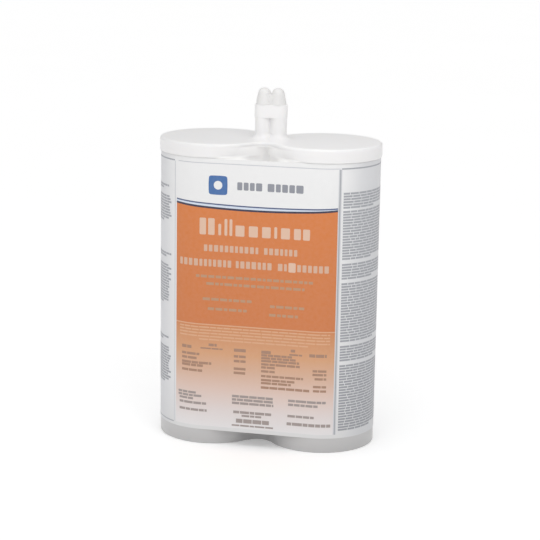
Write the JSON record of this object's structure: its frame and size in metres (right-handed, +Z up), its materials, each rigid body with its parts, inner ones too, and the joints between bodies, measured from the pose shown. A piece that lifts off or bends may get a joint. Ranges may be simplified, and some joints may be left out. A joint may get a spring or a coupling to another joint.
{
  "type": "twin-barrel sealant cartridge",
  "caption": "Side-by-side sealant cartridge: joined barrels with sliding rear pistons, a shared outlet neck closed by a pull-out stopper, and a printed label wrapped round both.",
  "frame": {"origin": "middle of the rear end, on the surface that the cartridge stands on", "axes": "+Z up towards the outlet, X across the two barrels, -Y out of the printed front"},
  "size_m": [0.1554, 0.078, 0.2468],
  "materials": {
    "moulding": "satin",
    "closure": "satin",
    "label": "satin",
    "piston": "satin",
    "ring": "matte",
    "pin": "satin",
    "sealant": "matte"
  },
  "bodies": {
    "cartridge": {"cartridge_body": "moulding", "label": "label", "sealant_left": "sealant", "sealant_right": "sealant"},
    "closure": {"closure_plug": "closure"},
    "follower_left": {"piston_left": "piston", "piston_ring_left": "ring", "vent_pin_left": "pin"},
    "follower_right": {"piston_right": "piston", "piston_ring_right": "ring", "vent_pin_right": "pin"}
  },
  "joints": [
    {"name": "closure_pull", "type": "slide", "parent": "cartridge", "child": "closure", "axis": [0, 0, 1], "range_m": [0, 0.02]},
    {"name": "piston_left_slide", "type": "slide", "parent": "cartridge", "child": "follower_left", "axis": [0, 0, 1], "range_m": [0, 0.187], "deforming": ["sealant_left"]},
    {"name": "piston_right_slide", "type": "slide", "parent": "cartridge", "child": "follower_right", "axis": [0, 0, 1], "range_m": [0, 0.187], "deforming": ["sealant_right"]}
  ]
}
